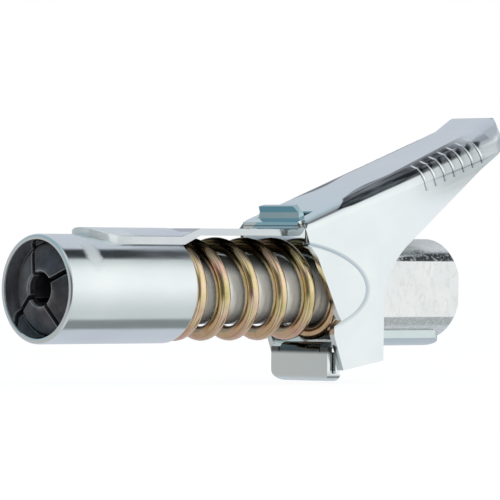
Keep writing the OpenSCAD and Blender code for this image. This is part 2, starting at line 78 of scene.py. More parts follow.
class Value:
    """A socket of a node tree, with arithmetic that adds Math nodes."""

    def __init__(self, graph: "Graph", socket: Any) -> None:
        """Keep the socket and the graph it belongs to."""
        self.graph = graph
        self.socket = socket

    def _math(self, operation: str, first: Any, second: Any = 0.0) -> "Value":
        """Add one Math node and give its result."""
        return self.graph.node("ShaderNodeMath", {"operation": operation}, {0: first, 1: second})

    def __add__(self, other: Any) -> "Value":
        """Give the sum."""
        return self._math("ADD", self, other)

    __radd__ = __add__

    def __sub__(self, other: Any) -> "Value":
        """Give the difference."""
        return self._math("SUBTRACT", self, other)

    def __rsub__(self, other: Any) -> "Value":
        """Give the difference from a plain number."""
        return self._math("SUBTRACT", other, self)

    def __mul__(self, other: Any) -> "Value":
        """Give the product."""
        return self._math("MULTIPLY", self, other)

    __rmul__ = __mul__

    def __truediv__(self, other: Any) -> "Value":
        """Give the quotient."""
        return self._math("DIVIDE", self, other)

    def __neg__(self) -> "Value":
        """Give the value with its sign turned."""
        return self._math("MULTIPLY", self, -1.0)

    def __abs__(self) -> "Value":
        """Give the size of the value."""
        return self._math("ABSOLUTE", self)

    def hypot(self, other: "Value") -> "Value":
        """Give the length of this value and another at right angles to it."""
        return self._math("POWER", self * self + other * other, 0.5)

    def wave(self) -> "Value":
        """Give the sine of the value."""
        return self._math("SINE", self)

    def ridges(self, rate: float) -> "Value":
        """Give even ridges from 0 to 1, at a rate in radians per metre."""
        return (self * rate).wave() * 0.5 + 0.5

    def smooth(self, low: Number, high: Number) -> "Value":
        """Ease from 0 at low to 1 at high.

        Args:
            low: value that gives 0.
            high: value that gives 1.

        Returns:
            The eased value.
        """
        return self.graph.node("ShaderNodeMapRange", {"interpolation_type": "SMOOTHSTEP"},
                               {"Value": self, "From Min": low, "From Max": high})

    def fade(self, low: Number, high: Number) -> "Value":
        """Ease from 1 at low to 0 at high."""
        return 1 - self.smooth(low, high)


class Graph:
    """A node tree that is filled through one method."""

    def __init__(self, tree: bpy.types.NodeTree) -> None:
        """Empty the tree and keep it."""
        self.tree = tree
        tree.nodes.clear()

    def node(self, kind: str, settings: Optional[Dict[str, Any]] = None,
             inputs: Optional[Dict[Any, Any]] = None, out: Any = 0) -> Value:
        """Add one node.

        Args:
            kind: type name of the node.
            settings: properties set first; "stops" fills a colour ramp.
            inputs: values or links by socket name or number.
            out: name or number of the output to give back.

        Returns:
            The chosen output, or an empty value for a node that has none.
        """
        made = self.tree.nodes.new(kind)
        for name, value in (settings or {}).items():
            if name == "stops":
                ramp = made.color_ramp
                while len(ramp.elements) < len(value):
                    ramp.elements.new(0.5)
                for element, (place, colour) in zip(ramp.elements, value):
                    element.position = place
                    element.color = (*colour, 1.0)
            else:
                setattr(made, name, value)
        for name, value in (inputs or {}).items():
            socket = made.inputs[name]
            if isinstance(value, Value):
                self.tree.links.new(value.socket, socket)
            elif socket.type == "RGBA" and len(value) == 3:
                socket.default_value = (*value, 1.0)
            else:
                socket.default_value = value
        return Value(self, made.outputs[out] if len(made.outputs) else None)

    def place(self) -> Value:
        """Give the Object coordinates."""
        return self.node("ShaderNodeTexCoord", out="Object")

    def layer(self, name: str) -> Value:
        """Give a number that the mesh carries."""
        return self.node("ShaderNodeAttribute", {"attribute_name": name}, out="Fac")

    def parts(self, vector: Value) -> Tuple[Value, Value, Value]:
        """Split a vector into its three numbers."""
        split = self.node("ShaderNodeSeparateXYZ", None, {0: vector}).socket.node
        return tuple(Value(self, socket) for socket in split.outputs)

    def noise(self, where: Value, scale: Union[float, Triple], detail: float = 3.0,
              rough: float = 0.55, turn: Triple = (0.0, 0.0, 0.0), warp: float = 0.0) -> Value:
        """Give a cloud of values from 0 to 1.

        Args:
            where: coordinates in metres.
            scale: cycles per metre, one for all axes or one for each.
            detail: number of finer layers.
            rough: weight of the finer layers.
            turn: turn of the pattern in radians.
            warp: distortion of the cloud.

        Returns:
            The cloud's value.
        """
        sizes = (scale,) * 3 if isinstance(scale, float) else scale
        mapped = self.node("ShaderNodeMapping", None,
                           {"Vector": where, "Rotation": turn, "Scale": sizes})
        return self.node("ShaderNodeTexNoise", None,
                         {"Vector": mapped, "Scale": 1.0, "Detail": detail,
                          "Roughness": rough, "Distortion": warp})

    def lanes(self, first: Value, second: Value, third: Value, rough: float = 0.5) -> Value:
        """Give a cloud over three numbers that stand for coordinates.

        Args:
            first: first number.
            second: second number.
            third: third number.
            rough: weight of the finer layers.

        Returns:
            The cloud's value.
        """
        where = self.node("ShaderNodeCombineXYZ", None, {0: first, 1: second, 2: third})
        return self.node("ShaderNodeTexNoise", None,
                         {"Vector": where, "Scale": 1.0, "Detail": 4.0, "Roughness": rough})

    def blend(self, factor: Any, first: Any, second: Any) -> Value:
        """Mix two colours by a factor."""
        return self.node("ShaderNodeMix", {"data_type": "RGBA"},
                         {0: factor, 6: first, 7: second}, 2)

    def bump(self, height: Value, depth: float, below: Optional[Value] = None) -> Value:
        """Turn a height into a normal.

        Args:
            height: height from 0 to 1.
            depth: real height in metres.
            below: normal of a coarser bump.

        Returns:
            The bent normal.
        """
        inputs: Dict[Any, Any] = {"Strength": 1.0, "Distance": depth, "Height": height}
        if below is not None:
            inputs["Normal"] = below
        return self.node("ShaderNodeBump", None, inputs)


class Finish:
    """Base of the finishes: makes one material from a recipe of sockets."""

    name: str

    def sockets(self, graph: Graph) -> Sockets:
        """Give the values of the surface's sockets."""
        raise NotImplementedError

    def material(self) -> bpy.types.Material:
        """Make the material, or give the one made before.

        Returns:
            The finished material.
        """
        known = bpy.data.materials.get(self.name)
        if known:
            return known
        made = bpy.data.materials.new(self.name)
        made.use_nodes = True
        graph = Graph(made.node_tree)
        surface = graph.node("ShaderNodeBsdfPrincipled", None, self.sockets(graph))
        graph.node("ShaderNodeOutputMaterial", None, {"Surface": surface})
        return made


@dataclass(frozen=True)
class BrightZinc(Finish):
    """Bright bluish zinc plating with soft polishing marks."""

    name: str
    grain: Grain
    cool: Colour = (0.785, 0.83, 0.845)
    pale: Colour = (0.845, 0.88, 0.88)
    lilac: Colour = (0.78, 0.81, 0.87)
    stained: Colour = (0.56, 0.60, 0.62)
    rubbed: Colour = (0.88, 0.90, 0.90)
    smoothest: float = 0.07
    roughest: float = 0.18
    ripple: float = 0.006 * MM
    mark: float = 0.004 * MM
    haze: float = 0.0

    def sockets(self, graph: Graph) -> Sockets:
        """Give the plating's sockets.

        Args:
            graph: node tree of the material.

        Returns:
            Values by socket name.
        """
        where = graph.place()
        worn = graph.layer("worn")
        cloud = graph.noise(where, 95.0, 4.0)
        veil = graph.noise(where, (42.0, 60.0, 52.0), 2.0, turn=(0.4, 0.2, 0.7))
        marks = graph.noise(where, self.grain.value, 5.0, 0.62)
        speck = graph.noise(where, 3200.0, 2.0)
        wave = graph.noise(where, (110.0, 130.0, 120.0), 2.0, 0.4)
        tone = graph.blend(cloud.smooth(0.3, 0.7), self.cool, self.pale)
        tone = graph.blend(veil.smooth(0.5, 0.78) * 0.7, tone, self.lilac)
        stain = marks.smooth(0.62, 0.8) * 0.22 + speck.smooth(0.66, 0.8) * 0.12
        tone = graph.blend(stain, tone, self.stained)
        tone = graph.blend(worn * (0.25 + cloud * 0.4), tone, self.rubbed)
        rough = self.smoothest + marks * (self.roughest - self.smoothest)
        rough = rough + speck.smooth(0.55, 0.8) * 0.05
        rough = rough + veil.smooth(0.46, 0.62) * self.haze
        normal = graph.bump(wave, self.ripple)
        normal = graph.bump(marks * 0.8 + speck * 0.2, self.mark, normal)
        return {"Base Color": tone, "Metallic": 1.0, "Roughness": rough, "Normal": normal}


@dataclass(frozen=True)
class SleeveZinc(BrightZinc):
    """Zinc of the sleeve, dulled by the weld under the strap's nose."""

    weld_x: float = -73.7 * MM
    weld_z: float = 5.3 * MM
    weld_edge: Span = (0.7 * MM, 1.9 * MM)
    weld_stretch: float = 0.6
    weld_fray: float = 1.2 * MM

    def sockets(self, graph: Graph) -> Sockets:
        """Give the plating's sockets with the weld's dull spot.

        Args:
            graph: node tree of the material.

        Returns:
            Values by socket name.
        """
        made = super().sockets(graph)
        where = graph.place()
        along, _, up = graph.parts(where)
        fray = (graph.noise(where, 600.0, 3.0) - 0.5) * self.weld_fray
        reach = (along - self.weld_x).hypot((up - self.weld_z) * self.weld_stretch)
        spot = (reach + fray).fade(*self.weld_edge)
        made["Roughness"] = made["Roughness"] + spot * 0.35
        made["Metallic"] = 1 - spot * 0.45
        return made


@dataclass(frozen=True)
class LeverSpot:
    """Where a point of the lever's sheet lies."""

    along: Value
    across: Value
    up: Value
    run: Value
    share: Value
    streak: Value


@dataclass(frozen=True)
class LeverZinc(BrightZinc):
    """Zinc of the lever, with a painted dark reflection along its folds, painted shade down the
    fold and side towards the tail, painted highlights on its ribs and painted shade in its crease.

    Run is the way along the sloping plate from its front edge. Share is the depth below the
    plate as a share of the fold's radius, so 1 is the fold's lower end.
    """

    front: float = -33.4 * MM
    height: float = 10.0 * MM
    slope: float = math.radians(20.4)
    cheek: float = 7.5 * MM
    fold_front: float = 1.5 * MM
    fold_grow: float = 0.06
    teal: Colour = (0.70, 0.84, 0.86)
    teal_end: Span = (-30.0 * MM, -12.0 * MM)
    # Colour of the painted dark reflection along the fold.
    painted_fold_reflection: Colour = (0.03, 0.035, 0.04)
    leaf_rise: Span = (6.5 * MM, 11.5 * MM)
    leaf_drop: Span = (7.0 * MM, 11.0 * MM)
    leaf_start: Span = (7.0 * MM, 8.5 * MM)
    leaf_end: Span = (33.0 * MM, 40.0 * MM)
    swell_start: Span = (9.5 * MM, 15.0 * MM)
    swell_end: Span = (16.0 * MM, 22.0 * MM)
    swell: float = 1.1 * MM
    swell_edge: Span = (-0.05 * MM, 0.3 * MM)
    hair_end: Span = (7.5 * MM, 9.0 * MM)
    # Colour of the painted shade on the fold towards the tail.
    dulled: Colour = (0.34, 0.38, 0.41)
    fold_shade_start: Span = (22.0 * MM, 30.0 * MM)
    shaded: Colour = (0.36, 0.40, 0.42)
    shade_start: Span = (20.0 * MM, 33.0 * MM)
    painted_seam_shade: Colour = (0.2, 0.23, 0.25)
    seam_start: Span = (26.0 * MM, 31.0 * MM)
    seam_end: Span = (38.0 * MM, 40.0 * MM)
    # Colour of the painted highlight on the rib crests.
    painted_rib_highlight: Colour = (0.90, 0.92, 0.92)
    rib_first: float = 25.7 * MM
    rib_pitch: float = 2.1 * MM
    rib_start: Span = (25.2 * MM, 25.4 * MM)
    rib_end: Span = (38.6 * MM, 38.8 * MM)
    # Colour of the painted shade along the crease round the bulge.
    painted_crease_shade: Colour = (0.44, 0.51, 0.56)
    crease_width: Span = (0.08 * MM, 0.42 * MM)
    crease_side: Span = (7.2 * MM, 7.4 * MM)
    crease_rise: Span = (-6.5 * MM, -1.0 * MM)
    bulge_x: float = -38.6 * MM
    bulge_stretch: float = 2.5
    bulge_r: float = 7.22 * MM

    def spot(self, graph: Graph) -> LeverSpot:
        """Measure a point along the plate and down the fold.

        Args:
            graph: node tree of the material.

        Returns:
            The point's measures and the streaks that run along the plate.
        """
        along, across, up = graph.parts(graph.place())
        lean, rise = math.cos(self.slope), math.sin(self.slope)
        run = (along - self.front) * lean + (up - self.height) * rise
        drop = (along - self.front) * rise - (up - self.height) * lean
        share = drop / (run * self.fold_grow + self.fold_front)
        streak = graph.lanes(run * 160.0, across * 1500.0, drop * 1500.0)
        return LeverSpot(along, across, up, run, share, streak)

    def paint_fold_reflection(self, graph: Graph, tone: Value, at: LeverSpot) -> Value:
        """Lay a painted dark reflection, shaped as a leaf, along the fold, with a thin painted
        dark line near its front.

        Args:
            graph: node tree of the material.
            tone: colour so far.
            at: measures of the point.

        Returns:
            The colour with the leaf.
        """
        upper = 0.36 - at.run.smooth(*self.leaf_rise) * 0.42
        lower = 0.40 + at.run.smooth(*self.leaf_drop) * 0.14
        leaf = (at.share - upper).smooth(-0.03, 0.03) * (at.share - lower).fade(-0.06, 0.03)
        leaf = leaf * at.run.smooth(*self.leaf_start) * at.run.fade(*self.leaf_end)
        swell = at.run.smooth(*self.swell_start) * at.run.fade(*self.swell_end) * self.swell
        fold_edge = (self.cheek - self.fold_front) - at.run * self.fold_grow - swell
        leaf = leaf * (abs(at.across) - fold_edge).smooth(*self.swell_edge)
        # A thin painted dark line of the same reflection near the fold's front end.
        hair = abs(at.share - 0.37).fade(0.03, 0.12) * at.run.fade(*self.hair_end) * 0.6
        depth = leaf * (0.72 + at.streak.smooth(0.35, 0.65) * 0.27) + hair
        return graph.blend(depth, tone, self.painted_fold_reflection)

    def shade(self, graph: Graph, tone: Value, at: LeverSpot) -> Value:
        """Paint shade on the fold and on the side towards the tail, with a darker painted line
        along the seam between them.

        Args:
            graph: node tree of the material.
            tone: colour so far.
            at: measures of the point.

        Returns:
            The dulled colour.
        """
        # Painted shade: the fold darkens towards the tail, the side below it too, with a darker
        # line on the seam.
        dull = at.share.smooth(0.45, 0.6) * at.share.fade(0.97, 1.03)
        dull = dull * at.run.smooth(*self.fold_shade_start)
        tone = graph.blend(dull * (0.3 + at.streak * 0.5), tone, self.dulled)
        under = at.share.smooth(0.9, 1.0) * at.share.fade(1.2, 2.6)
        under = under * at.run.smooth(*self.shade_start)
        tone = graph.blend(under * (0.55 + at.streak * 0.3), tone, self.shaded)
        seam = abs(at.share - 1.0).fade(0.01, 0.04) * at.run.smooth(*self.seam_start)
        return graph.blend(seam * at.run.fade(*self.seam_end) * 0.6, tone, self.painted_seam_shade)

    def paint_rib_highlight(self, graph: Graph, tone: Value, at: LeverSpot) -> Value:
        """Paint a highlight on the crests of the ribs.

        Args:
            graph: node tree of the material.
            tone: colour so far.
            at: measures of the point.

        Returns:
            The colour with the bright crests.
        """
        turn = (at.run - self.rib_first) * (TAU / self.rib_pitch) + TAU / 4
        comb = turn.wave().smooth(0.76, 0.9)
        comb = comb * at.run.smooth(*self.rib_start) * at.run.fade(*self.rib_end)
        comb = comb * at.share.smooth(0.03, 0.1) * at.share.fade(0.7, 0.95)
        return graph.blend(comb, tone, self.painted_rib_highlight)

    def crease(self, graph: Graph, tone: Value, at: LeverSpot) -> Value:
        """Paint a line of shade along the crease round the bulge on each cheek, stronger higher
        up.

        Args:
            graph: node tree of the material.
            tone: colour so far.
            at: measures of the point.

        Returns:
            The colour with the crease.
        """
        oval = ((at.along - self.bulge_x) / self.bulge_stretch).hypot(at.up)
        line = abs(oval - self.bulge_r).fade(*self.crease_width)
        line = line * abs(at.across).smooth(*self.crease_side)
        line = line * (0.35 + at.up.smooth(*self.crease_rise) * 0.65)
        return graph.blend(line * 0.8, tone, self.painted_crease_shade)

    def sockets(self, graph: Graph) -> Sockets:
        """Give the plating's sockets with the lever's own marks.

        Args:
            graph: node tree of the material.

        Returns:
            Values by socket name.
        """
        made = super().sockets(graph)
        at = self.spot(graph)
        teal = at.along.fade(*self.teal_end) * at.share.fade(0.1, 0.4)
        tone = graph.blend(teal * 0.8, made["Base Color"], self.teal)
        for step in (self.paint_fold_reflection, self.shade, self.paint_rib_highlight, self.crease):
            tone = step(graph, tone, at)
        made["Base Color"] = tone
        return made


@dataclass(frozen=True)
class StrapZinc(BrightZinc):
    """Zinc of the strap, duller on its cut sides and nose and tinted on the hook tab."""

    cut: Colour = (0.46, 0.49, 0.50)
    tint: Colour = (0.36, 0.52, 0.58)
    side_y: Span = (4.35 * MM, 4.55 * MM)
    tab_z: Span = (9.3 * MM, 9.7 * MM)
    nose_x: Span = (-66.0 * MM, -63.0 * MM)

    def sockets(self, graph: Graph) -> Sockets:
        """Give the plating's sockets with the strap's own tints.

        Args:
            graph: node tree of the material.

        Returns:
            Values by socket name.
        """
        made = super().sockets(graph)
        where = graph.place()
        along, across, up = graph.parts(where)
        cloud = graph.noise(where, 260.0, 3.0)
        sides = abs(across).smooth(*self.side_y) * (0.35 + cloud * 0.3)
        tone = graph.blend(sides, made["Base Color"], self.cut)
        tab = up.smooth(*self.tab_z) * (0.8 + cloud * 0.2)
        made["Base Color"] = graph.blend(tab, tone, self.tint)
        made["Roughness"] = made["Roughness"] + graph.layer("worn") * (0.2 + cloud * 0.15)
        made["Metallic"] = 1 - along.fade(*self.nose_x) * 0.6
        return made


@dataclass(frozen=True)
class BracketZinc(BrightZinc):
    """Zinc of the bracket, with painted shade on its bend under the spring, and dull along its
    strip.
    """

    # Colour of the painted shade on the bend under the spring.
    grease: Colour = (0.05, 0.05, 0.048)
    dulled: Colour = (0.52, 0.62, 0.62)
    bend_z: Span = (-9.9 * MM, -9.2 * MM)
    bend_end: Span = (-25.0 * MM, -24.5 * MM)
    strip_start: Span = (-24.0 * MM, -21.0 * MM)

    def sockets(self, graph: Graph) -> Sockets:
        """Give the plating's sockets with the painted shade on the bend and the dull strip.

        Args:
            graph: node tree of the material.

        Returns:
            Values by socket name.
        """
        made = super().sockets(graph)
        where = graph.place()
        along, _, up = graph.parts(where)
        film = graph.noise(where, 500.0, 4.0)
        strip = along.smooth(*self.strip_start) * (0.5 + film * 0.2)
        tone = graph.blend(strip, made["Base Color"], self.dulled)
        # Painted shade on the bend under the spring.
        bend = up.smooth(*self.bend_z) * along.fade(*self.bend_end)
        made["Base Color"] = graph.blend(bend * (0.8 + film * 0.2), tone, self.grease)
        return made


@dataclass(frozen=True)
class GroundSteel(Finish):
    """Ground shank and turned barrel with mottled wrench flats."""

    name: str = "ground_steel"
    cool: Colour = (0.82, 0.84, 0.84)
    warm: Colour = (0.87, 0.88, 0.87)
    scuffed: Colour = (0.70, 0.70, 0.67)
    specked: Colour = (0.5, 0.5, 0.5)
    rubbed: Colour = (0.90, 0.90, 0.90)
    # Colour of the painted shade on the shank's top and bottom.
    painted_shank_shade: Colour = (0.06, 0.065, 0.055)
    shoulder_x: Span = (-23.2 * MM, -23.0 * MM)
    flat_y: Span = (6.35 * MM, 6.39 * MM)
    shank_top: Span = (1.8 * MM, 4.2 * MM)
    shank_low: Span = (2.8 * MM, 4.8 * MM)
    barrel_crown: Span = (5.6 * MM, 6.2 * MM)
    barrel_low: Span = (2.0 * MM, 4.5 * MM)
    relief: float = 0.003 * MM

    def sockets(self, graph: Graph) -> Sockets:
        """Give the steel's sockets.

        Args:
            graph: node tree of the material.

        Returns:
            Values by socket name.
        """
        where = graph.place()
        along, across, up = graph.parts(where)
        barrel = along.smooth(*self.shoulder_x)
        flats = abs(across).smooth(*self.flat_y) * barrel
        turned = barrel * (1 - flats)
        crown = up.smooth(*self.barrel_crown)
        rings = graph.noise(where, (5200.0, 60.0, 60.0), 3.0, 0.6)
        mill = graph.noise(where, (2400.0, 120.0, 260.0), 3.0, 0.6, turn=(0.0, 0.5, 0.0))
        patch = graph.noise(where, 260.0, 5.0, 0.65, warp=0.6)
        fine = graph.noise(where, 2600.0, 2.0)
        scuff = graph.noise(where, (900.0, 300.0, 500.0), 5.0, 0.7, (0.0, 0.4, 0.0), 1.2)
        grit = graph.noise(where, 1500.0, 3.0, 0.7).smooth(0.5, 0.6)
        tone = graph.blend(patch.smooth(0.3, 0.7), self.cool, self.warm)
        tone = graph.blend(flats * scuff.smooth(0.48, 0.66) * 0.55, tone, self.scuffed)
        tone = graph.blend(fine.smooth(0.64, 0.8) * 0.2, tone, self.specked)
        tone = graph.blend(graph.layer("worn") * 0.4, tone, self.rubbed)
        # Painted shade on the shank's top and, more faintly, on its bottom.
        shank_shade = up.smooth(*self.shank_top) * 0.9 + (-up).smooth(*self.shank_low) * 0.6
        tone = graph.blend((1 - barrel) * shank_shade, tone, self.painted_shank_shade)
        rough = (1 - barrel) * (0.12 + rings * 0.08)
        rough = rough + turned * (0.12 + grit * (0.22 - crown * 0.14))
        rough = rough + flats * (0.22 + scuff * 0.14 + fine * 0.06)
        chalky = (-up).smooth(*self.barrel_low) * 0.5 + crown * 0.75
        metal = 0.45 + barrel * 0.55 - turned * chalky
        height = rings * (1 - flats) + mill * flats
        normal = graph.bump(patch * (1 - flats * 0.4), self.relief)
        normal = graph.bump(height * 0.8 + fine * 0.2, self.relief, normal)
        return {"Base Color": tone, "Metallic": metal, "Roughness": rough, "Normal": normal}


@dataclass(frozen=True)
class GoldZinc(Finish):
    """Yellow passivated spring wire with pink and olive bloom.

    The wire carries three numbers: run, the turns from its first end, and out and fore,
    which tell how far a point faces away from the axis and along it.
    """

    name: str = "gold_zinc"
    bloom: Tuple[Tuple[float, Colour], ...] = (
        (0.34, (0.72, 0.60, 0.29)), (0.46, (0.86, 0.69, 0.38)),
        (0.56, (0.90, 0.68, 0.48)), (0.66, (0.84, 0.54, 0.41)))
    olive: Colour = (0.48, 0.43, 0.19)
    drawn: Colour = (0.24, 0.15, 0.07)
    specked: Colour = (0.2, 0.15, 0.08)
    # Colour of the painted reflection lines on the wire's front flank.
    painted_flank_reflection: Colour = (0.10, 0.06, 0.03)
    # Colour of the painted shade on the wire's inner side.
    painted_inner_shade: Colour = (0.12, 0.08, 0.04)
    rose: Colour = (0.66, 0.38, 0.27)
    # Colour of the painted shade on the tops of the coils, under the strap.
    painted_top_shade: Colour = (0.06, 0.04, 0.02)
    low_z: Span = (3.0 * MM, 6.5 * MM)
    top_z: Span = (3.2 * MM, 6.0 * MM)
    relief: float = 0.003 * MM

    def sockets(self, graph: Graph) -> Sockets:
        """Give the wire's sockets.

        Args:
            graph: node tree of the material.

        Returns:
            Values by socket name.
        """
        where = graph.place()
        _, _, up = graph.parts(where)
        run, out, fore = (graph.layer(name) for name in ("run", "out", "fore"))
        draw = graph.lanes(run * 2.2, out * 4.0, fore * 4.0, 0.6)
        cloud = graph.noise(where, (170.0, 260.0, 260.0), 3.0, 0.6)
        veil = graph.noise(where, (320.0, 360.0, 300.0), 3.0, 0.6, turn=(0.5, 0.1, 0.3))
        speck = graph.noise(where, 2600.0, 2.0)
        tone = graph.node("ShaderNodeValToRGB", {"stops": self.bloom}, {0: cloud})
        tone = graph.blend(veil.smooth(0.5, 0.7) * (0.35 + fore * 0.25), tone, self.olive)
        tone = graph.blend(draw.smooth(0.58, 0.72) * 0.5, tone, self.drawn)
        tone = graph.blend(speck.smooth(0.66, 0.8) * 0.2, tone, self.specked)
        # Painted reflection: thin dark lines on the front flank of the wire.
        flank_reflection = (fore * 26.0 + draw * 3.0).wave().smooth(0.5, 0.95) * fore.smooth(0.3, 0.45)
        flank_reflection = flank_reflection * fore.fade(0.88, 0.97) * out.smooth(0.0, 0.25)
        tone = graph.blend(flank_reflection * 0.75, tone, self.painted_flank_reflection)
        # Painted shade on the inner side of the wire, facing the axis.
        tone = graph.blend((-out).smooth(0.0, 0.6) * 0.6, tone, self.painted_inner_shade)
        tone = graph.blend((-up).smooth(*self.low_z) * 0.55, tone, self.rose)
        # Painted shade on the tops of the coils.
        tone = graph.blend(up.smooth(*self.top_z) * 0.85, tone, self.painted_top_shade)
        rough = 0.08 + draw * 0.07 + speck * 0.03
        normal = graph.bump(draw * 0.8 + speck * 0.2, self.relief)
        return {"Base Color": tone, "Metallic": 1.0, "Roughness": rough, "Normal": normal}


@dataclass(frozen=True)
class BlackedSteel(Finish):
    """Blacked hardened steel of the jaws, rubbed brighter where the fitting slides."""

    name: str = "blacked_steel"
    black: Colour = (0.060, 0.056, 0.064)
    faded: Colour = (0.13, 0.122, 0.134)
    slid: Colour = (0.30, 0.29, 0.30)
    rubbed: Colour = (0.46, 0.45, 0.46)
    grip: Span = (2.9 * MM, 3.4 * MM)
    lathe: float = 21000.0
    relief: float = 0.007 * MM

    def sockets(self, graph: Graph) -> Sockets:
        """Give the jaws' sockets.

        Args:
            graph: node tree of the material.

        Returns:
            Values by socket name.
        """
        where = graph.place()
        _, across, up = graph.parts(where)
        radius = across.hypot(up)
        cloud = graph.noise(where, 420.0, 4.0, 0.6)
        speck = graph.noise(where, 2400.0, 3.0)
        slid = radius.fade(*self.grip) * cloud.smooth(0.35, 0.6)
        tone = graph.blend(cloud.smooth(0.3, 0.75), self.black, self.faded)
        tone = graph.blend(slid * 0.3 + speck.smooth(0.6, 0.76) * 0.2, tone, self.slid)
        tone = graph.blend(graph.layer("worn") * (0.35 + cloud * 0.5), tone, self.rubbed)
        rough = 0.34 + cloud * 0.18 - slid * 0.1
        normal = graph.bump(radius.ridges(self.lathe) * 0.4 + speck * 0.6, self.relief)
        return {"Base Color": tone, "Metallic": 0.75, "Roughness": rough, "Normal": normal}


@dataclass(frozen=True)
class SealRubber(Finish):
    """Moulded black rubber of the seals."""

    name: str = "seal_rubber"
    black: Colour = (0.016, 0.016, 0.018)
    greyed: Colour = (0.035, 0.034, 0.035)
    relief: float = 0.008 * MM

    def sockets(self, graph: Graph) -> Sockets:
        """Give the rubber's sockets.

        Args:
            graph: node tree of the material.

        Returns:
            Values by socket name.
        """
        where = graph.place()
        cloud = graph.noise(where, 300.0, 4.0)
        pore = graph.noise(where, 3000.0, 3.0)
        return {"Base Color": graph.blend(cloud, self.black, self.greyed),
                "Roughness": 0.5 + cloud * 0.2,
                "Normal": graph.bump(pore, self.relief)}


@dataclass(frozen=True)
class TurnedBrass(Finish):
    """Turned brass of the valve's rings."""

    name: str = "turned_brass"
    deep: Colour = (0.62, 0.44, 0.18)
    pale: Colour = (0.80, 0.62, 0.31)
    lathe: float = 26000.0
    relief: float = 0.005 * MM

    def sockets(self, graph: Graph) -> Sockets:
        """Give the brass's sockets.

        Args:
            graph: node tree of the material.

        Returns:
            Values by socket name.
        """
        where = graph.place()
        _, across, up = graph.parts(where)
        cloud = graph.noise(where, 350.0, 4.0)
        height = across.hypot(up).ridges(self.lathe) * 0.6 + cloud * 0.4
        return {"Base Color": graph.blend(cloud, self.deep, self.pale), "Metallic": 1.0,
                "Roughness": 0.2 + cloud * 0.15,
                "Normal": graph.bump(height, self.relief)}


@dataclass(frozen=True)
class InnerSteel(Finish):
    """Plain bright steel of the inner springs, the piston, the ball and the inlet's thread."""

    name: str = "inner_steel"
    grey: Colour = (0.58, 0.59, 0.61)
    pale: Colour = (0.76, 0.76, 0.77)
    relief: float = 0.004 * MM

    def sockets(self, graph: Graph) -> Sockets:
        """Give the steel's sockets.

        Args:
            graph: node tree of the material.

        Returns:
            Values by socket name.
        """
        where = graph.place()
        cloud = graph.noise(where, 400.0, 4.0)
        fine = graph.noise(where, (2800.0, 900.0, 900.0), 3.0)
        return {"Base Color": graph.blend(cloud, self.grey, self.pale), "Metallic": 1.0,
                "Roughness": 0.18 + fine * 0.18,
                "Normal": graph.bump(fine, self.relief)}


PRESSED_RIPPLE = 0.02 * MM
PRESSED_MARK = 0.002 * MM
SLEEVE_ZINC = SleeveZinc("sleeve_zinc", Grain.ALONG, smoothest=0.0, roughest=0.24,
                         mark=0.007 * MM, haze=0.12)
LEVER_ZINC = LeverZinc("lever_zinc", Grain.PRESSED, ripple=PRESSED_RIPPLE, mark=PRESSED_MARK)
STRAP_ZINC = StrapZinc("strap_zinc", Grain.PRESSED, ripple=PRESSED_RIPPLE, mark=PRESSED_MARK)
BRACKET_ZINC = BracketZinc("bracket_zinc", Grain.PRESSED, ripple=PRESSED_RIPPLE,
                           mark=PRESSED_MARK)


@dataclass(frozen=True)
class RoundOver:
    """A rounding on the sharp edges whose two ends pass a test."""

    width: float
    segments: int
    picks: Callable[[Vector], bool]


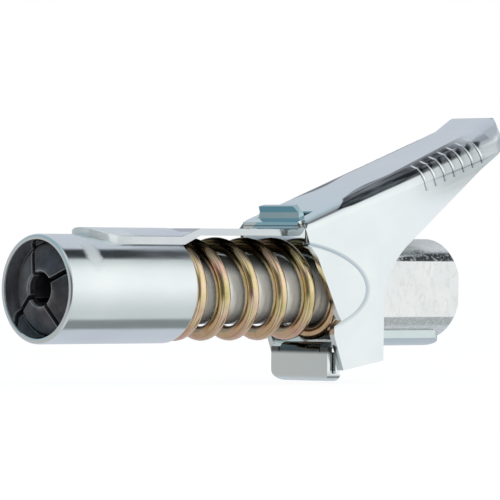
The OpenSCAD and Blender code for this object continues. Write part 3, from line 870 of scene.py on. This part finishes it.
@dataclass
class SubAssembly:
    """Shared ways of a sub-assembly: finished pieces and dressed nodes."""

    body: Body = Body.FRAME
    merge: float = 0.002 * MM
    level: float = math.radians(0.6)
    sharp: float = math.radians(30.0)

    def settle(self, name: str, mesh: bmesh.types.BMesh, finish: Finish, slot: str,
               stands_for: Sequence[str] = (), body: str = "") -> bpy.types.Object:
        """Turn a mesh into a piece that rides on its body.

        Args:
            name: name of the piece.
            mesh: the built mesh, which is freed.
            finish: surface of the piece.
            slot: the record's material slot; not used.
            stands_for: nodes that the piece replaces.
            body: body's name where it isn't the sub-assembly's own.

        Returns:
            The new object.
        """
        data = bpy.data.meshes.new(name)
        mesh.to_mesh(data)
        mesh.free()
        data.materials.append(finish.material())
        piece = bpy.data.objects.new(name, data)
        bpy.context.scene.collection.objects.link(piece)
        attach(piece, body or self.body.value)
        if stands_for:
            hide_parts(*stands_for)
        LOG.info("piece %s rides on %s", name, body or self.body.value)
        return piece

    def softened(self, name: str, node: str, finish: Finish, slot: str, width: float,
                 body: str = "", wide: Sequence[RoundOver] = ()) -> None:
        """Replace a node by its own shape with rounded edges.

        Args:
            name: name of the new piece.
            node: node that it stands for.
            finish: surface of the piece.
            slot: the record's material slot.
            width: width of the rounding in metres.
            body: body's name where it isn't the sub-assembly's own.
            wide: wider roundings that come first.
        """
        mesh = bmesh.new()
        mesh.from_mesh(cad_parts[node].data)
        bmesh.ops.remove_doubles(mesh, verts=mesh.verts, dist=self.merge)
        bmesh.ops.dissolve_limit(mesh, angle_limit=self.level, verts=mesh.verts, edges=mesh.edges)
        worn = mesh.faces.layers.float.new("worn")
        for rule in (*wide, RoundOver(width, 2, lambda corner: True)):
            edges = [edge for edge in mesh.edges
                     if edge.is_manifold and edge.calc_face_angle(0.0) > self.sharp
                     and all(rule.picks(vert.co) for vert in edge.verts)]
            made = bmesh.ops.bevel(mesh, geom=edges, offset=rule.width, offset_type="OFFSET",
                                   segments=rule.segments, profile=0.5, affect="EDGES",
                                   clamp_overlap=True, material=-1)
            for face in made["faces"]:
                face[worn] = 1.0
        for face in mesh.faces:
            face.smooth = True
        piece = self.settle(name, mesh, finish, slot, (node,), body)
        even = piece.modifiers.new("even", "WEIGHTED_NORMAL")
        even.weight = 100
        even.keep_sharp = True

    def dress(self, node: str, finish: Finish) -> None:
        """Give a node of the frame its finish.

        Args:
            node: name of the node.
            finish: its surface.
        """
        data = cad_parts[node].data
        data.materials.clear()
        data.materials.append(finish.material())
        LOG.info("node %s dressed", node)


@dataclass
class Sleeve(SubAssembly):
    """Sliding sleeve with its welded strap."""

    body: Body = Body.SLEEVE
    edge: float = 0.12 * MM
    strap_round: float = 0.5 * MM
    strap_steps: int = 5
    strap_r: float = 8.95 * MM
    saddle_z: float = 7.35 * MM
    bridge_rise: float = 1.45 * MM
    lift_start: float = -54.5 * MM
    lift_run: float = 3.2 * MM
    bridge_end: float = -36.0 * MM

    def on_strap_top(self, corner: Vector) -> bool:
        """Tell whether a corner lies on the strap's upper edges.

        Args:
            corner: the corner's place.

        Returns:
            True for the upper edges of the saddle, the rise and the bridge.
        """
        rise = min(max((corner.x - self.lift_start) / self.lift_run, 0.0), 1.0)
        return (math.hypot(corner.y, corner.z) > self.strap_r and corner.x < self.bridge_end
                and corner.z > self.saddle_z + self.bridge_rise * rise)

    def build(self) -> None:
        """Round and dress the sleeve and the strap."""
        top = RoundOver(self.strap_round, self.strap_steps, self.on_strap_top)
        self.softened("sleeve_tube", "front_sleeve", SLEEVE_ZINC, "zinc_plate", self.edge)
        self.softened("strap_strip", "sleeve_strap", STRAP_ZINC, "zinc_plate", self.edge,
                      wide=(top,))


@dataclass
class WoundSpring(SubAssembly):
    """Coil spring wound round the axis; the sizes given here are the main spring's."""

    name: str = "spring_wire"
    node: str = "main_spring"
    finish: Finish = GoldZinc()
    slot: str = "yellow_zinc"
    joint: str = "sleeve_slide"
    travel: float = 4.85 * MM
    fixed_end: float = -23.1 * MM
    coil_r: float = 6.6 * MM
    wire_r: float = 1.1 * MM
    first: float = -53.6 * MM
    last: float = -24.3 * MM
    pitch: float = 5.7 * MM
    ease: float = 0.75
    start: float = math.radians(100.0)
    steps: int = 54
    sides: int = 20

    def rise(self, turn: float, turns: float) -> float:
        """Give the wire's place along the axis.

        Args:
            turn: turns from the first end.
            turns: turns of the whole spring.

        Returns:
            The way from the first end in metres.
        """
        if turn < self.ease:
            return self.pitch * turn * turn / (2 * self.ease)
        if turn > turns - self.ease:
            left = turns - turn
            return self.pitch * (turns - self.ease) - self.pitch * left * left / (2 * self.ease)
        return self.pitch * (turn - self.ease / 2)

    def wind(self) -> bmesh.types.BMesh:
        """Wind the wire step by step and close its ends.

        Returns:
            The wire's mesh, with the numbers that its finish reads.
        """
        turns = (self.last - self.first) / self.pitch + self.ease
        count = math.ceil(turns * self.steps)
        mesh = bmesh.new()
        run, out, fore = (mesh.verts.layers.float.new(name) for name in ("run", "out", "fore"))
        place = (Matrix.Rotation(self.start, 4, "X")
                 @ Matrix.Translation((self.first, self.coil_r, 0.0)))
        made = bmesh.ops.create_circle(mesh, segments=self.sides, radius=self.wire_r, matrix=place)
        ring = list(made["verts"])
        for index, vert in enumerate(ring):
            vert[out] = math.cos(TAU * index / self.sides)
            vert[fore] = math.sin(TAU * index / self.sides)
        first_edges = list(mesh.edges)
        geom: List[Any] = ring + first_edges
        for index in range(1, count + 1):
            before, now = ((index - 1) * turns / count, index * turns / count)
            step = self.rise(now, turns) - self.rise(before, turns)
            spun = bmesh.ops.spin(mesh, geom=geom, cent=(0.0, 0.0, 0.0), axis=(1.0, 0.0, 0.0),
                                  dvec=(step, 0.0, 0.0), angle=TAU * (now - before), steps=1)
            geom = spun["geom_last"]
            for vert in geom:
                if isinstance(vert, bmesh.types.BMVert):
                    vert[run] = now
        last_edges = [edge for edge in geom if isinstance(edge, bmesh.types.BMEdge)]
        bmesh.ops.edgeloop_fill(mesh, edges=first_edges)
        bmesh.ops.edgeloop_fill(mesh, edges=last_edges)
        bmesh.ops.recalc_face_normals(mesh, faces=mesh.faces)
        for face in mesh.faces:
            face.smooth = len(face.verts) == 4
        return mesh

    def build(self) -> None:
        """Make the wire and give it a mesh of its own."""
        wire = self.settle(self.name, self.wind(), self.finish, self.slot, (self.node,))
        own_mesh(wire)


@dataclass
class SealSpring(WoundSpring):
    """Small spring that presses the seal forward."""

    name: str = "seal_coil"
    node: str = "seal_spring"
    finish: Finish = InnerSteel()
    slot: str = "body_steel"
    joint: str = "seal_float"
    travel: float = 1.3 * MM
    fixed_end: float = -49.2 * MM
    coil_r: float = 1.75 * MM
    wire_r: float = 0.25 * MM
    first: float = -58.35 * MM
    last: float = -49.55 * MM
    pitch: float = 1.76 * MM
    ease: float = 1.0
    start: float = 0.0
    steps: int = 32
    sides: int = 12


@dataclass
class CheckSpring(SealSpring):
    """Small spring that presses the ball on its seat."""

    name: str = "check_coil"
    node: str = "check_spring"
    joint: str = "ball_lift"
    travel: float = 1.2 * MM
    fixed_end: float = -47.2 * MM
    coil_r: float = 1.5 * MM
    first: float = -46.85 * MM
    last: float = -40.7 * MM
    pitch: float = 1.5375 * MM


@dataclass
class Lever(SubAssembly):
    """Pressed lever with its folded plate, cheeks and ribbed tail."""

    body: Body = Body.LEVER
    edge: float = 0.1 * MM
    tail_x: float = 5.6 * MM
    tail_round: float = 0.42 * MM
    tail_steps: int = 4

    def on_tail(self, corner: Vector) -> bool:
        """Tell whether a corner lies on the tail's rounded end."""
        return corner.x > self.tail_x

    def build(self) -> None:
        """Round and dress the pressed sheet."""
        tail = RoundOver(self.tail_round, self.tail_steps, self.on_tail)
        self.softened("lever_sheet", "lever", LEVER_ZINC, "zinc_plate", self.edge, wide=(tail,))


@dataclass
class Barrel(SubAssembly):
    """Turned body with its wrench flats and the inlet's thread."""

    edge: float = 0.15 * MM
    bore: float = 4.37 * MM
    bite: float = 0.1 * MM
    pitch: float = 0.94 * MM
    depth: float = 0.5 * MM
    deepest: float = -9.9 * MM
    foot: Span = (0.02, 0.9)
    crest: Span = (0.36, 0.56)
    turns: int = 10
    steps: int = 48

    def thread(self) -> bmesh.types.BMesh:
        """Spin the thread's ridge along the bore.

        Returns:
            The ridge's mesh, rooted a little in the bore's wall.
        """
        mesh = bmesh.new()
        root, top = self.bore + self.bite, self.bore - self.depth
        ridge = [(self.foot[0], root), (self.crest[0], top), (self.crest[1], top),
                 (self.foot[1], root)]
        corners = [mesh.verts.new((self.deepest + share * self.pitch, radius, 0.0))
                   for share, radius in ridge]
        sides = [mesh.edges.new((corners[index], corners[(index + 1) % 4])) for index in range(4)]
        spun = bmesh.ops.spin(mesh, geom=corners + sides, cent=(0.0, 0.0, 0.0),
                              axis=(1.0, 0.0, 0.0), dvec=(self.pitch / self.steps, 0.0, 0.0),
                              angle=TAU * self.turns, steps=self.turns * self.steps)
        ends = [edge for edge in spun["geom_last"] if isinstance(edge, bmesh.types.BMEdge)]
        bmesh.ops.edgeloop_fill(mesh, edges=sides)
        bmesh.ops.edgeloop_fill(mesh, edges=ends)
        bmesh.ops.recalc_face_normals(mesh, faces=mesh.faces)
        return mesh

    def build(self) -> None:
        """Round and dress the body, then line its inlet with the thread."""
        self.softened("barrel_shank", "coupler_body", GroundSteel(), "body_steel", self.edge)
        self.settle("inlet_thread", self.thread(), InnerSteel(), "body_steel")


@dataclass
class HeelBracket(SubAssembly):
    """Pressed bracket under the barrel."""

    edge: float = 0.1 * MM

    def build(self) -> None:
        """Round and dress the bracket."""
        self.softened("heel_strip", "heel_bracket", BRACKET_ZINC, "zinc_plate", self.edge)


@dataclass
class Jaws(SubAssembly):
    """Four gripping jaws in the sleeve's mouth, each on a body of its own."""

    count: int = 4
    edge: float = 0.14 * MM

    def build(self) -> None:
        """Round and dress each jaw."""
        for number in range(1, self.count + 1):
            jaw = f"jaw_{number}"
            self.softened(f"jaw_finger_{number}", jaw, BlackedSteel(), "black_oxide", self.edge,
                          jaw)


@dataclass
class ValveTrain(SubAssembly):
    """Sprung seal and check valve inside the body."""

    rubber: Tuple[str, ...] = ("nose_seal", "piston_ring")
    brass: Tuple[str, ...] = ("seal_washer", "spring_stop", "valve_seat")
    steel: Tuple[str, ...] = ("seal_piston", "check_ball")

    def build(self) -> None:
        """Dress the inner pieces and wind their two springs."""
        for names, finish in ((self.rubber, SealRubber()), (self.brass, TurnedBrass()),
                              (self.steel, InnerSteel())):
            for name in names:
                self.dress(name, finish)
        SealSpring().build()
        CheckSpring().build()


@dataclass(frozen=True)
class Lamp:
    """A soft square lamp that looks at the coupler and isn't mirrored in it."""

    name: str
    place: Triple
    size: float
    power: float
    aim: Triple = (-30.0 * MM, 0.0, 0.0)

    def hang(self) -> None:
        """Add the lamp to the scene."""
        data = bpy.data.lights.new(self.name, "AREA")
        data.size = self.size
        data.energy = self.power
        lamp = bpy.data.objects.new(self.name, data)
        lamp.location = self.place
        way = Vector(self.aim) - Vector(self.place)
        lamp.rotation_euler = way.to_track_quat("-Z", "Y").to_euler()
        lamp.visible_glossy = False
        bpy.context.scene.collection.objects.link(lamp)


@dataclass(frozen=True)
class Room:
    """Tones of the room that lights the coupler and shows in its plating."""

    near_level: Colour = (0.93, 0.95, 0.95)
    near_steep: Colour = (0.66, 0.70, 0.70)
    far_right: Colour = (0.60, 0.635, 0.70)
    far_low: Colour = (0.50, 0.51, 0.50)
    far_high: Colour = (0.31, 0.45, 0.51)
    key: Colour = (1.12, 1.13, 1.13)
    key_way: Triple = (0.5, -0.79, 0.36)
    front: Colour = (0.09, 0.09, 0.08)
    overhead: Colour = (0.48, 0.51, 0.56)
    overhead_way: Triple = (0.33, -0.2, 0.92)
    gap_low: Colour = (0.25, 0.275, 0.275)
    gap_high: Colour = (0.04, 0.045, 0.05)
    gap_lean: float = 0.13

    def tone(self, graph: Graph) -> Value:
        """Paint the room by direction.

        Args:
            graph: node tree of the world.

        Returns:
            The room's colour: pale near side, bluish far side, dark front and dark gaps.
        """
        along, across, up = graph.parts(graph.node("ShaderNodeTexCoord", out="Generated"))
        left = graph.blend(up.smooth(0.05, 0.22), self.far_low, self.far_high)
        far = graph.blend(along.smooth(-0.45, 0.3), left, self.far_right)
        near = graph.blend(abs(up).smooth(0.05, 0.65), self.near_level, self.near_steep)
        tone = graph.blend((-across).smooth(-0.1, 0.35), far, near)
        key, overhead = (along * way[0] + across * way[1] + up * way[2]
                         for way in (self.key_way, self.overhead_way))
        tone = graph.blend(key.smooth(0.84, 1.0) * 0.7, tone, self.key)
        front = (-along).smooth(0.3, 0.44) * (-across).smooth(-0.2, 0.05) * abs(up).fade(0.25, 0.6)
        tone = graph.blend(front * 0.9, tone, self.front)
        tone = graph.blend(overhead.smooth(0.90, 0.955), tone, self.overhead)
        gap = abs(across + self.gap_lean).fade(0.12, 0.22) * abs(up).smooth(0.5, 0.62)
        dark = graph.blend(up.smooth(0.0, 0.3), self.gap_low, self.gap_high)
        return graph.blend(gap * along.smooth(0.3, 0.6), tone, dark)


@dataclass
class Studio:
    """Pale floor, soft light and the camera."""

    room: Room = Room()
    lamps: Tuple[Lamp, ...] = (Lamp("near_lamp", (0.45, -0.75, 0.35), 0.5, 0.3),
                               Lamp("front_lamp", (-0.52, -0.62, 0.12), 0.4, 2.0))
    floor_z: float = -14.2 * MM
    floor_half: float = 6.0
    floor_tone: Colour = (0.92, 0.92, 0.92)
    floor_glow: float = 1.12
    glow_share: float = 0.8
    eye: Triple = (-588.89 * MM, -603.82 * MM, 5.815 * MM)
    sight: Triple = (0.674, 0.738, 0.0)
    roll: float = 0.0060
    lens: float = 394.2
    sensor: float = 36.0
    clip: Span = (0.01, 20.0)

    def camera(self) -> None:
        """Set the camera at the photo's angle."""
        data = bpy.data.cameras.new("camera")
        data.lens = self.lens
        data.sensor_width = self.sensor
        data.clip_start, data.clip_end = self.clip
        ahead = Vector(self.sight).normalized()
        right = ahead.cross(Vector((0.0, 0.0, 1.0))).normalized()
        up = right.cross(ahead)
        turn = Matrix((right, up, -ahead)).transposed().to_4x4()
        roll = Matrix.Rotation(self.roll, 4, "Z")
        eye = bpy.data.objects.new("camera", data)
        eye.matrix_world = Matrix.Translation(self.eye) @ turn @ roll
        bpy.context.scene.collection.objects.link(eye)
        bpy.context.scene.camera = eye

    def floor(self) -> None:
        """Lay a pale floor that stays white to the eye and keeps a soft shadow."""
        mesh = bmesh.new()
        bmesh.ops.create_grid(mesh, x_segments=4, y_segments=4, size=self.floor_half,
                              matrix=Matrix.Translation((0.0, 0.0, self.floor_z)))
        data = bpy.data.meshes.new("floor")
        mesh.to_mesh(data)
        mesh.free()
        material = bpy.data.materials.new("pale_floor")
        material.use_nodes = True
        graph = Graph(material.node_tree)
        seen = graph.node("ShaderNodeLightPath", out="Is Camera Ray")
        matt = graph.node("ShaderNodeBsdfDiffuse", None, {"Color": self.floor_tone})
        glow = graph.node("ShaderNodeEmission", None,
                          {"Color": WHITE, "Strength": self.floor_glow})
        both = graph.node("ShaderNodeMixShader", None,
                          {0: seen * self.glow_share, 1: matt, 2: glow})
        graph.node("ShaderNodeOutputMaterial", None, {"Surface": both})
        data.materials.append(material)
        plane = bpy.data.objects.new("floor", data)
        bpy.context.scene.collection.objects.link(plane)
        plane.visible_glossy = False

    def world(self) -> None:
        """Fill the room, which the camera itself sees as plain white."""
        world = bpy.data.worlds.new("room")
        world.use_nodes = True
        bpy.context.scene.world = world
        graph = Graph(world.node_tree)
        tones = graph.node("ShaderNodeBackground", None,
                           {"Color": self.room.tone(graph), "Strength": 1.0})
        plain = graph.node("ShaderNodeBackground", None, {"Color": WHITE, "Strength": 1.0})
        seen = graph.node("ShaderNodeLightPath", out="Is Camera Ray")
        both = graph.node("ShaderNodeMixShader", None, {0: seen, 1: tones, 2: plain})
        graph.node("ShaderNodeOutputWorld", None, {"Surface": both})

    def build(self) -> None:
        """Set up the whole studio."""
        self.camera()
        self.floor()
        self.world()
        for lamp in self.lamps:
            lamp.hang()
        bpy.context.scene.view_settings.view_transform = "Standard"
        LOG.info("studio set")


def main() -> None:
    """Set up the studio and build the sub-assemblies in order."""
    logging.basicConfig(level=logging.INFO, format="%(name)s: %(message)s")
    Studio().build()
    for group in (Barrel(), HeelBracket(), Sleeve(), WoundSpring(), Lever(), Jaws(), ValveTrain()):
        group.build()


if __name__ == "__main__":
    main()
